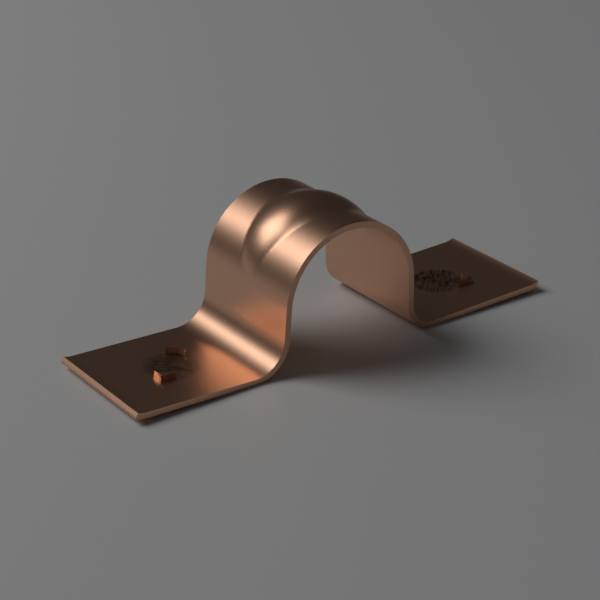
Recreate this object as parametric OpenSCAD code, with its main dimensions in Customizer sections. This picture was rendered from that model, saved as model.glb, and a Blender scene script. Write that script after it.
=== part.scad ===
// Two-hole pipe strap, pressed from one strip of copper sheet.
// The strip is followed from the middle of its saddle outwards to each foot, stretch by stretch.
// Origin: on the mounting surface, under the middle of the saddle. X runs along the strip,
// Y along the tube that it holds, Z up, away from the wall.

/* [Saddle] */
// Bore of the saddle, the tube's outside diameter with a sliding fit
saddle_d = 16; // [10:0.1:30]
// Height of the saddle's axis above the mounting surface
axis_h = 6.9; // [5.5:0.1:16]

/* [Sheet] */
// Thickness of the sheet
sheet_t = 0.7; // [0.4:0.05:1.2]
// Width of the strip, measured along the tube
strip_w = 15.8; // [13:0.1:30]

/* [Bead] */
// Height of the stiffening bead above the back of the saddle
bead_h = 0.85; // [0.4:0.05:1.6]
// Width of the bead at its root, over the top of the saddle
bead_w = 10; // [6:0.1:12]
// Angle from the top of the saddle at which the bead has run out to nothing
bead_end = 78; // [55:1:82]

/* [Left side] */
// Angle by which the left leg leans outwards
left_lean = 5; // [0:0.5:8]
// Radius inside the left foot's bend
left_bend_r = 3.8; // [1:0.1:4]
// Angle by which the left foot springs up towards its end
left_toe = 2; // [0:0.1:3]

/* [Right side] */
// Angle by which the right leg leans outwards
right_lean = 0.5; // [0:0.5:8]
// Radius inside the right foot's bend
right_bend_r = 2.8; // [1:0.1:4]
// Angle by which the right foot springs up towards its end
right_toe = 1.4; // [0:0.1:3]

/* [Feet] */
// How far each foot reaches past the side of the saddle
foot_out = 18.95; // [18.5:0.05:30]
// Radius of the corners of the strip
corner_r = 0.6; // [0.2:0.1:1.5]
// How much of each foot's end is turned up by the shear that cut it
curl_len = 1.3; // [0.5:0.1:1.8]
// Radius inside that upturned end
curl_r = 3.5; // [3:0.1:8]
// Height of the straight part of the shear's cut
shear_land = 0.28; // [0.1:0.02:0.36]
// How far the rest of the cut leans back, where the sheet broke off
shear_lean = 0.35; // [0.1:0.05:0.6]

/* [Screw holes] */
// How far the centre of each hole is past the side of the saddle
hole_out = 9.9; // [9.4:0.1:12]
// Diameter of the screw holes
hole_d = 6.2; // [3:0.1:7]
// Radius that the punch leaves round the top edge of each hole
punch_r = 0.25; // [0.1:0.05:0.35]

/* [Hidden] */
saddle_r = saddle_d / 2;
back_r = saddle_r + sheet_t;
foot_reach = back_r + foot_out;
hole_reach = back_r + hole_out;
// The bead turns about an axis of its own, set higher than the saddle's, so that it runs out by itself
bead_rise = bead_h / (1 - cos(bead_end));
// How deep the bead's root lies under the back of the sheet
bead_sink = 0.03;
root_r = back_r - bead_rise - bead_sink;
// Spare length that the cuts reach past the sheet
spare = 1;
// Width of the blank, before its sides are trimmed
blank_w = strip_w + 2 * spare;
// Straight stretches reach this far into the bends beside them
lap = 0.05;
// and lie this far inside both faces of the sheet, so that they end within those bends
ease = 0.001;
// How far the rounding of a hole's edge starts inside its wall
edge_in = 0.01;
// Angle from the top of the saddle at which its mouth begins, where the bead is nearly run out
mouth_start = bead_end - 6;
$fn = 48;

// Length of a leg, so that the bend under it just touches the mounting surface
function leg_len(lean, bend_r) =
    (axis_h + saddle_r * sin(lean) - (bend_r + sheet_t) * (1 - sin(lean))) / cos(lean);

// Where a foot begins, on its underside: distance from the saddle's axis, and height
function foot_start(lean, bend_r, toe) = [
    saddle_r * cos(lean) + leg_len(lean, bend_r) * sin(lean)
        + (bend_r + sheet_t) * (cos(lean) + sin(toe)),
    (bend_r + sheet_t) * (1 - cos(toe))
];

// Height of a foot's underside where the shear cut it
function end_z(start, toe) =
    start[1] + (foot_reach - start[0]) * tan(toe)
        + (curl_r + sheet_t) * (1 - cos(asin(curl_len / (curl_r + sheet_t))));

// A flat stretch of the strip, with the next stretch at its end
module straight(len) {
    translate([-lap, -blank_w / 2, ease]) cube([len + 2 * lap, blank_w, sheet_t - 2 * ease]);
    translate([len, 0, 0]) children();
}

// A stretch that bends towards its back, with the next stretch at its end
module bend(r, a) {
    translate([0, 0, sheet_t + r]) {
        rotate([90, 0, 0]) rotate([0, 0, -90]) rotate_extrude(angle = a)
            translate([r, -blank_w / 2]) square([sheet_t, blank_w]);
        rotate([0, -a, 0]) translate([0, 0, -sheet_t - r]) children();
    }
}

// What the punch takes off the top edge of a screw hole
module punched_edge() {
    translate([0, 0, sheet_t - punch_r]) rotate_extrude() difference() {
        square([hole_d / 2 + punch_r, punch_r + spare]);
        translate([hole_d / 2 - edge_in + punch_r, 0]) circle(r = punch_r);
    }
}

// What broke off past the straight part of the shear's cut. With way 1 the top edge
// of the sheet reaches out furthest, with way -1 the bottom edge
module broken_off(z, way) {
    turn_z = z + (way > 0 ? sheet_t - shear_land : shear_land);
    run = sheet_t - shear_land;
    rotate([90, 0, 0]) linear_extrude(blank_w + 2 * spare, center = true) polygon([
        [foot_reach + shear_lean, turn_z + way * run],
        [foot_reach - 2 * shear_lean, turn_z - 2 * way * run],
        [foot_reach + shear_lean, turn_z - 2 * way * run]
    ]);
}

// One side of the strip, from the end of the saddle to the end of the foot
module side(lean, bend_r, toe, way) {
    start = foot_start(lean, bend_r, toe);
    foot_len = (foot_reach - curl_len - start[0]) / cos(toe);
    curl_a = asin((curl_len + spare / 2) / curl_r);
    difference() {
        translate([0, 0, axis_h]) rotate([0, 90 - lean, 0]) translate([0, 0, saddle_r])
            straight(leg_len(lean, bend_r)) bend(bend_r, 90 - lean + toe) difference() {
                straight(foot_len) bend(curl_r, curl_a);
                translate([(hole_reach - start[0]) / cos(toe) + sheet_t * tan(toe), 0, 0])
                    punched_edge();
            }
        translate([hole_reach, 0, -spare]) cylinder(d = hole_d, h = axis_h);
        broken_off(end_z(start, toe), way);
    }
}

// The saddle before its bore is cut: a slice of a disc between the two legs
module saddle() {
    translate([0, 0, axis_h]) rotate([90, 0, 0]) rotate([0, 0, right_lean])
        rotate_extrude(angle = 180 - left_lean - right_lean)
            translate([0, -blank_w / 2]) square([back_r, blank_w]);
}

// The bore of the saddle. Its mouth, below the bead, is eased by a hair
module bore() {
    wide = blank_w + 2 * spare;
    translate([0, 0, axis_h]) rotate([90, 0, 0]) {
        cylinder(r = saddle_r, h = wide, center = true);
        intersection() {
            cylinder(r = saddle_r + ease / 2, h = wide, center = true);
            translate([-back_r, -back_r, -wide / 2])
                cube([2 * back_r, back_r + saddle_r * cos(mouth_start), wide]);
        }
    }
}

// The bead's cross-section over radius r, and down to a depth under it: a crown and two
// hollow flanks, one arc each
module bead_section(r, depth) {
    crest = bead_h + bead_sink;
    half_w = bead_w / 2;
    arc_r = (half_w * half_w + crest * crest) / (4 * crest);
    translate([r, 0]) {
        translate([-depth, -half_w]) square([depth, bead_w]);
        intersection() {
            translate([crest - arc_r, 0]) circle(r = arc_r);
            translate([-depth, -half_w / 2]) square([depth + crest, half_w]);
        }
        for (flank = [-1, 1]) difference() {
            translate([-depth, flank * half_w * 3 / 4 - half_w / 4])
                square([depth + crest / 2, half_w / 2]);
            translate([arc_r, flank * half_w]) circle(r = arc_r);
        }
    }
}

// The bead, or the groove under it, swept over the saddle about the bead's own axis
module bead_sweep(r, depth) {
    translate([0, 0, axis_h + bead_rise]) rotate([90, 0, 0])
        rotate_extrude(angle = 180) bead_section(r, depth);
}

// What trimming takes off the sides, the ends and the corners of the blank
module trimmed_off() {
    half_l = foot_reach - corner_r;
    half_w = strip_w / 2 - corner_r;
    translate([0, 0, -spare]) linear_extrude(axis_h + back_r + 2 * spare) difference() {
        square([2 * (foot_reach + 2 * spare), blank_w + 2 * spare], center = true);
        square([2 * half_l, strip_w], center = true);
        square([2 * foot_reach, 2 * half_w], center = true);
        for (x = [-half_l, half_l], y = [-half_w, half_w]) translate([x, y]) circle(r = corner_r);
    }
}

// The whole strap, one piece of sheet
module pipe_strap() {
    color([0.76, 0.55, 0.40]) difference() {
        union() {
            saddle();
            side(right_lean, right_bend_r, right_toe, 1);
            mirror([1, 0, 0]) side(left_lean, left_bend_r, left_toe, -1);
            bead_sweep(root_r, sheet_t + bead_h);
        }
        bore();
        bead_sweep(root_r - sheet_t, sheet_t + bead_h);
        trimmed_off();
    }
}

pipe_strap();
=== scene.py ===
# %% [markdown]
# # A copper pipe strap
# A pipe strap holds a copper tube against a wall. The real one is stamped from a strip of thin
# copper sheet: two holes are punched, both ends are sheared off, and a press folds the strip over
# a round former, which also pushes a stiffening bead into the top of the arch.
# Here the same strip is swept out in Blender stretch by stretch, then given its bead, its
# thickness and its cut edges.

# %% Load the imported CAD model
import math

import bpy
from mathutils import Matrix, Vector


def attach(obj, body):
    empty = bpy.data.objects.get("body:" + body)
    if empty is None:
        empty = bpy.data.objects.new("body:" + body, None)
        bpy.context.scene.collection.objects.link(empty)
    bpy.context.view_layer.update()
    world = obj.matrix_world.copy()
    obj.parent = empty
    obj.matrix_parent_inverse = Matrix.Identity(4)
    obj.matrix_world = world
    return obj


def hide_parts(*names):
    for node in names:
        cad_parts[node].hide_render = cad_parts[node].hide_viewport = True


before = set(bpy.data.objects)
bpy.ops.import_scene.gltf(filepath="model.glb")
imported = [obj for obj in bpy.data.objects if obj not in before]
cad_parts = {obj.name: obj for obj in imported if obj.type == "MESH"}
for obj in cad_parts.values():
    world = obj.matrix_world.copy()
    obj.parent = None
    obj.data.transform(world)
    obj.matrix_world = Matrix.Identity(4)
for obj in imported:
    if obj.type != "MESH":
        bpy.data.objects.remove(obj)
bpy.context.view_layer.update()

# %% [markdown]
# ## Sizes
# The sizes repeat those of the CAD model, in metres. The strip is followed on its outer skin,
# which is the top of the feet and the back of the arch. The left side, at -X, was bent a little
# wider than the right side.

# %% Sizes of the strip
MM = 0.001
AXIS_H = 6.9 * MM
SADDLE_R = 8.0 * MM
SHEET = 0.7 * MM
BACK_R = SADDLE_R + SHEET
WIDTH = 15.8 * MM
FOOT_REACH = 27.65 * MM
HOLE_REACH = 18.6 * MM
HOLE_R = 3.1 * MM
PUNCH_R = 0.25 * MM
CURL_LEN = 1.3 * MM
CURL_R = 3.5 * MM
ROWS_ACROSS = 64
CELL = WIDTH / ROWS_ACROSS
PATCH = 20 * CELL
LEFT = {"way": -1, "lean": 5.0, "bend_r": 3.8 * MM, "toe": 2.0, "bend_rows": 58}
RIGHT = {"way": 1, "lean": 0.5, "bend_r": 2.8 * MM, "toe": 1.4, "bend_rows": 26}
print("a cell across the strip is", round(CELL / MM, 3), "mm")


# %% Where each stretch of a side begins
def plan_side(side):
    """Adds the places where the stretches of one side meet, on the outer skin"""
    lean, toe = math.radians(side["lean"]), math.radians(side["toe"])
    way, r = side["way"], side["bend_r"]
    outer = r + SHEET
    leg = (AXIS_H + SADDLE_R * math.sin(lean) - outer * (1 - math.sin(lean))) / math.cos(lean)
    bend_x = SADDLE_R * math.cos(lean) + leg * math.sin(lean) + outer * math.cos(lean)
    foot_x = bend_x + outer * math.sin(toe)
    side["leg"] = leg
    side["bend_at"] = Vector((way * bend_x, 0, outer))
    side["down"] = Vector((way * math.sin(lean), 0, -math.cos(lean)))
    side["out"] = Vector((way * math.cos(toe), 0, math.sin(toe)))
    side["up"] = Vector((-way * math.sin(toe), 0, math.cos(toe)))
    side["foot_at"] = side["bend_at"] - side["up"] * r
    side["foot"] = (FOOT_REACH - CURL_LEN - foot_x) / math.cos(toe)
    side["to_hole"] = (HOLE_REACH - abs(side["foot_at"].x)) / math.cos(toe)
    side["hole_at"] = side["foot_at"] + side["out"] * side["to_hole"]
    side["curl_at"] = side["foot_at"] + side["out"] * side["foot"] + side["up"] * CURL_R
    side["arc"] = math.radians(90 - side["lean"]) * BACK_R
    side["bend"] = math.radians(90 - side["lean"] + side["toe"]) * r
    print("side", way, "leg", round(leg / MM, 2), "foot", round(side["foot"] / MM, 2), "mm")


for side in (LEFT, RIGHT):
    plan_side(side)

# %% [markdown]
# ## Sweeping the strip
# A bent sheet could be a flat plane under a bend modifier, but each bend here has its own radius
# and angle. So a single row of points across the strip is spun round the centre of each bend and
# extruded along each straight, which is how the strip itself goes round the tools of the press.


# %% Helpers to select by place
def edit(piece, kind):
    bpy.context.view_layer.objects.active = piece
    bpy.context.tool_settings.mesh_select_mode = tuple(kind == k for k in ("VERT", "EDGE", "FACE"))
    bpy.ops.object.mode_set(mode="EDIT")


def done():
    bpy.ops.object.mode_set(mode="OBJECT")


def clear(mesh):
    for group in (mesh.vertices, mesh.edges, mesh.polygons):
        group.foreach_set("select", [False] * len(group))


def pick_points(piece, test):
    """Selects the points that the test accepts and nothing else, and goes to edit mode"""
    clear(piece.data)
    found = [v for v in piece.data.vertices if test(v.co)]
    for v in found:
        v.select = True
    edit(piece, "VERT")
    return len(found)


def pick_edges(piece, test):
    """The same for edges: the test gets both ends"""
    clear(piece.data)
    points = piece.data.vertices
    found = [e for e in piece.data.edges if test(points[e.vertices[0]].co, points[e.vertices[1]].co)]
    for e in found:
        e.select = True
    edit(piece, "EDGE")
    return len(found)


def pick_faces(piece, test):
    """The same for faces: the test gets the middle and the normal"""
    clear(piece.data)
    found = [f for f in piece.data.polygons if test(f.center, f.normal)]
    for f in found:
        f.select = True
    edit(piece, "FACE")
    return len(found)


# %% The first row of points, over the top of the saddle
bpy.ops.object.select_all(action="DESELECT")
bpy.ops.mesh.primitive_grid_add(x_subdivisions=1, y_subdivisions=ROWS_ACROSS, size=2)
strap = bpy.context.object
strap.name = strap.data.name = "copper_strap"
pick_points(strap, lambda p: p.x < 0)
bpy.ops.mesh.delete(type="VERT")
bpy.ops.mesh.select_all(action="SELECT")
bpy.ops.transform.resize(value=(1, WIDTH / 2, 1), center_override=(0, 0, 0))
bpy.ops.transform.translate(value=(-1, 0, AXIS_H + BACK_R))
done()
print("first row", len(strap.data.vertices), "points")


# %% Sweep each side out to the end of its foot
def sweep_round(rows, degrees, centre):
    # with no window, spin turns against the right-hand rule
    bpy.ops.mesh.spin(steps=rows, angle=-math.radians(degrees), center=centre, axis=(0, 1, 0))


def sweep_straight(rows, way_to_go):
    for _ in range(rows):
        bpy.ops.mesh.extrude_region_move(TRANSFORM_OT_translate={"value": way_to_go / rows})


def sweep_side(side):
    way = side["way"]
    pick_points(strap, lambda p: abs(p.x) < 1e-6 and p.z > AXIS_H)
    sweep_round(56, way * (90 - side["lean"]), (0, 0, AXIS_H))
    sweep_straight(14, side["down"] * side["leg"])
    sweep_round(side["bend_rows"], -way * (90 - side["lean"] + side["toe"]), side["bend_at"])
    before = side["to_hole"] - PATCH
    after = side["foot"] - side["to_hole"] - PATCH
    sweep_straight(max(3, round(before / CELL)), side["out"] * before)
    sweep_straight(40, side["out"] * 2 * PATCH)
    sweep_straight(round(after / CELL), side["out"] * after)
    sweep_round(9, -way * 30, side["curl_at"])
    done()


for side in (RIGHT, LEFT):
    sweep_side(side)
print("swept", len(strap.data.polygons), "faces")

# %% [markdown]
# ## Screw holes
# A hole cut by a boolean would leave ragged faces that shade badly. Instead a square patch of the
# foot is opened, a circle is set in its middle, and the two loops, which have as many edges each,
# are bridged.


# %% Open each foot and bridge it to a round hole
def open_hole(side):
    at, along, way = side["hole_at"], side["out"], side["way"]
    inside = 0.999 * PATCH
    count = pick_faces(
        strap, lambda c, n: abs((c - at).dot(along)) < inside and abs(c.y) < inside and c.x * way > 0
    )
    bpy.ops.mesh.delete(type="FACE")
    done()
    pick_edges(
        strap,
        lambda a, b: max(abs((a - at).dot(along)), abs((b - at).dot(along))) < 1.001 * PATCH
        and max(abs(a.y), abs(b.y)) < 1.001 * PATCH
        and a.x * way > 0,
    )
    rim = sum(e.select for e in strap.data.edges)
    bpy.ops.mesh.select_mode(type="VERT")
    done()
    square = [v.index for v in strap.data.vertices if v.select]
    edit(strap, "VERT")
    bpy.ops.mesh.select_all(action="DESELECT")
    tilt = (0, -way * math.radians(side["toe"]), 0)
    bpy.ops.mesh.primitive_circle_add(
        vertices=len(square), radius=HOLE_R, fill_type="NOTHING", location=at, rotation=tilt
    )
    done()
    for i in square:
        strap.data.vertices[i].select = True
    edit(strap, "VERT")
    bpy.ops.mesh.select_mode(type="EDGE")
    bpy.ops.mesh.bridge_edge_loops(number_cuts=5, interpolation="LINEAR")
    done()
    print("hole at", round(at.x / MM, 2), "opened", count, "faces, rim", rim, len(square))


for side in (RIGHT, LEFT):
    open_hole(side)

# %% [markdown]
# ## The bead
# The press pushes the bead up out of the top of the arch. A Displace modifier does the same: a
# vertex group says how far up each point goes, from 1 on the crest to 0 where the bead has run
# out. Its cross-section is a crown and two hollow flanks, and its crest is an arc about a higher
# axis than the arch's, so it sinks into the back by itself on both sides.

# %% Weights of the bead
BEAD_H = 0.85 * MM
BEAD_HALF = 5.0 * MM
BEAD_END = math.radians(78)
BEAD_RISE = BEAD_H / (1 - math.cos(BEAD_END))
BEAD_SINK = 0.03 * MM
ROOT_R = BACK_R - BEAD_RISE - BEAD_SINK
CREST = BEAD_H + BEAD_SINK
FLANK_R = (BEAD_HALF**2 + CREST**2) / (4 * CREST)


def bead_height(turn, y):
    """How far the bead stands over the back, at an angle from the top of the arch"""
    y = min(abs(y), BEAD_HALF)
    if y < BEAD_HALF / 2:
        rise = CREST - FLANK_R + math.sqrt(FLANK_R**2 - y**2)
    else:
        rise = FLANK_R - math.sqrt(FLANK_R**2 - (BEAD_HALF - y) ** 2)
    reach = (ROOT_R + rise) ** 2 - (BEAD_RISE * math.sin(turn)) ** 2
    high = BEAD_RISE * math.cos(turn) + math.sqrt(max(reach, 0)) - BACK_R
    soft = 0.03 * MM
    return 0.5 * (high + math.sqrt(high**2 + soft**2)) - 0.5 * soft * math.exp(-abs(high) / soft)


bead = strap.vertex_groups.new(name="bead")
for v in strap.data.vertices:
    turn = math.atan2(v.co.x, v.co.z - AXIS_H)
    if abs(turn) < BEAD_END and v.co.z > AXIS_H:
        weight = bead_height(turn, v.co.y) / BEAD_H
        if weight > 0.001:
            bead.add([v.index], min(weight, 1.0), "REPLACE")
print("bead radius of flank", round(FLANK_R / MM, 2), "mm")

# %% Normals outwards, then press the bead
pick_points(strap, lambda p: True)
bpy.ops.mesh.remove_doubles(threshold=0.001 * MM)
bpy.ops.mesh.normals_make_consistent(inside=False)
done()
top = max(strap.data.polygons, key=lambda f: f.center.z)
if top.normal.z < 0:
    edit(strap, "FACE")
    bpy.ops.mesh.select_all(action="SELECT")
    bpy.ops.mesh.flip_normals()
    done()
print("top face looks", [round(c, 2) for c in top.normal])


def press(name, group, depth):
    push = strap.modifiers.new(name, "DISPLACE")
    push.direction = "NORMAL"
    push.mid_level = 0
    push.strength = depth
    push.vertex_group = group
    bpy.context.view_layer.objects.active = strap
    bpy.ops.object.modifier_apply(modifier=name)


press("bead", "bead", BEAD_H)
print("top of the bead", round(max(v.co.z for v in strap.data.vertices) / MM, 2), "mm")

# %% Give the sheet its thickness
wall = strap.modifiers.new("sheet", "SOLIDIFY")
wall.thickness = SHEET
wall.offset = -1
wall.use_even_offset = True
bpy.ops.object.modifier_apply(modifier="sheet")
print("sheet", len(strap.data.polygons), "faces")

# %% [markdown]
# ## Cut ends
# A shear cuts a sheet in two stages. The blade first slides through, which leaves a straight land,
# then the rest breaks off at a slant. Two bisect planes at each end leave just those two faces.

# %% Shear the ends
LAND = 0.28 * MM
BREAK = 0.35 * MM


def shear(point, normal):
    """Cuts off all that lies beyond a plane, and closes the cut"""
    edit(strap, "VERT")
    bpy.ops.mesh.select_all(action="SELECT")
    bpy.ops.mesh.bisect(
        plane_co=point, plane_no=normal, use_fill=True, clear_outer=True, threshold=0.002 * MM
    )
    done()


def end_height(side):
    """Height of the underside where the foot ends"""
    outer = CURL_R + SHEET
    low = side["foot_at"] - side["up"] * SHEET
    turn = math.asin(CURL_LEN / outer)
    return low.z + (FOOT_REACH - abs(low.x)) * math.tan(math.radians(side["toe"])) + outer * (
        1 - math.cos(turn)
    )


for side in (RIGHT, LEFT):
    way = side["way"]
    shear((way * FOOT_REACH, 0, 0), (way, 0, 0))
    run = SHEET - LAND
    low = end_height(side)
    turn_z = low + (run if way > 0 else LAND)
    slant = Vector((way * run, 0, -way * way * BREAK * way)).normalized()
    shear((way * FOOT_REACH, 0, turn_z), slant)
print("sheared", len(strap.data.polygons), "faces")

# %% Finish the shading and let it stand for the CAD strap
pick_points(strap, lambda p: True)
bpy.ops.mesh.remove_doubles(threshold=0.004 * MM)
bpy.ops.mesh.normals_make_consistent(inside=False)
done()
bpy.ops.object.select_all(action="DESELECT")
strap.select_set(True)
bpy.context.view_layer.objects.active = strap
bpy.ops.object.shade_smooth_by_angle(angle=math.radians(32))
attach(strap, "root")
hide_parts("pipe_strap")
print("strap", len(strap.data.vertices), "points")

# %% Copper, first try
copper = bpy.data.materials.new("copper")
copper.use_nodes = True
skin = copper.node_tree.nodes["Principled BSDF"]
skin.inputs["Base Color"].default_value = (0.76, 0.45, 0.30, 1)
skin.inputs["Metallic"].default_value = 1
skin.inputs["Roughness"].default_value = 0.35
strap.data.materials.clear()
strap.data.materials.append(copper)

# %% Floor
bpy.ops.object.select_all(action="DESELECT")
bpy.ops.mesh.primitive_plane_add(size=4, location=(0, 0, 0))
floor = bpy.context.object
floor.name = "floor"
pale = bpy.data.materials.new("pale_floor")
pale.use_nodes = True
pale.node_tree.nodes["Principled BSDF"].inputs["Base Color"].default_value = (0.9, 0.9, 0.9, 1)
floor.data.materials.append(pale)

# %% Camera at the photograph's angle
az, el, roll = math.radians(-35.255), math.radians(25.333), math.radians(-0.457)
back = Vector((math.sin(az) * math.cos(el), -math.cos(az) * math.cos(el), math.sin(el)))
right = Vector((0, 0, 1)).cross(back).normalized()
up = back.cross(right)
tilted_right = right * math.cos(roll) + up * math.sin(roll)
tilted_up = up * math.cos(roll) - right * math.sin(roll)
lens = bpy.data.cameras.new("photo_camera")
lens.sensor_width = 36
lens.lens = 36 * 1807.753 / 600
lens.clip_start = 0.01
camera = bpy.data.objects.new("photo_camera", lens)
bpy.context.scene.collection.objects.link(camera)
turn = camera.matrix_world.to_3x3()
for i in range(3):
    turn[i] = (tilted_right[i], tilted_up[i], back[i])
camera.matrix_world = turn.to_4x4()
camera.location = Vector((3.451, 6.771, 0)) * MM + back * 212.793 * MM
bpy.context.scene.camera = camera

# %% Light
bpy.context.scene.view_settings.view_transform = "Standard"
world = bpy.data.worlds.new("studio")
world.use_nodes = True
world.node_tree.nodes["Background"].inputs["Strength"].default_value = 0.6
bpy.context.scene.world = world
lamp = bpy.data.lights.new("soft_box", "AREA")
lamp.energy = 1.2
lamp.size = 0.4
box = bpy.data.objects.new("soft_box", lamp)
box.location = (-0.3, 0.35, 0.45)
box.rotation_euler = (Vector((0, 0, 0)) - box.location).to_track_quat("-Z", "Y").to_euler()
bpy.context.scene.collection.objects.link(box)
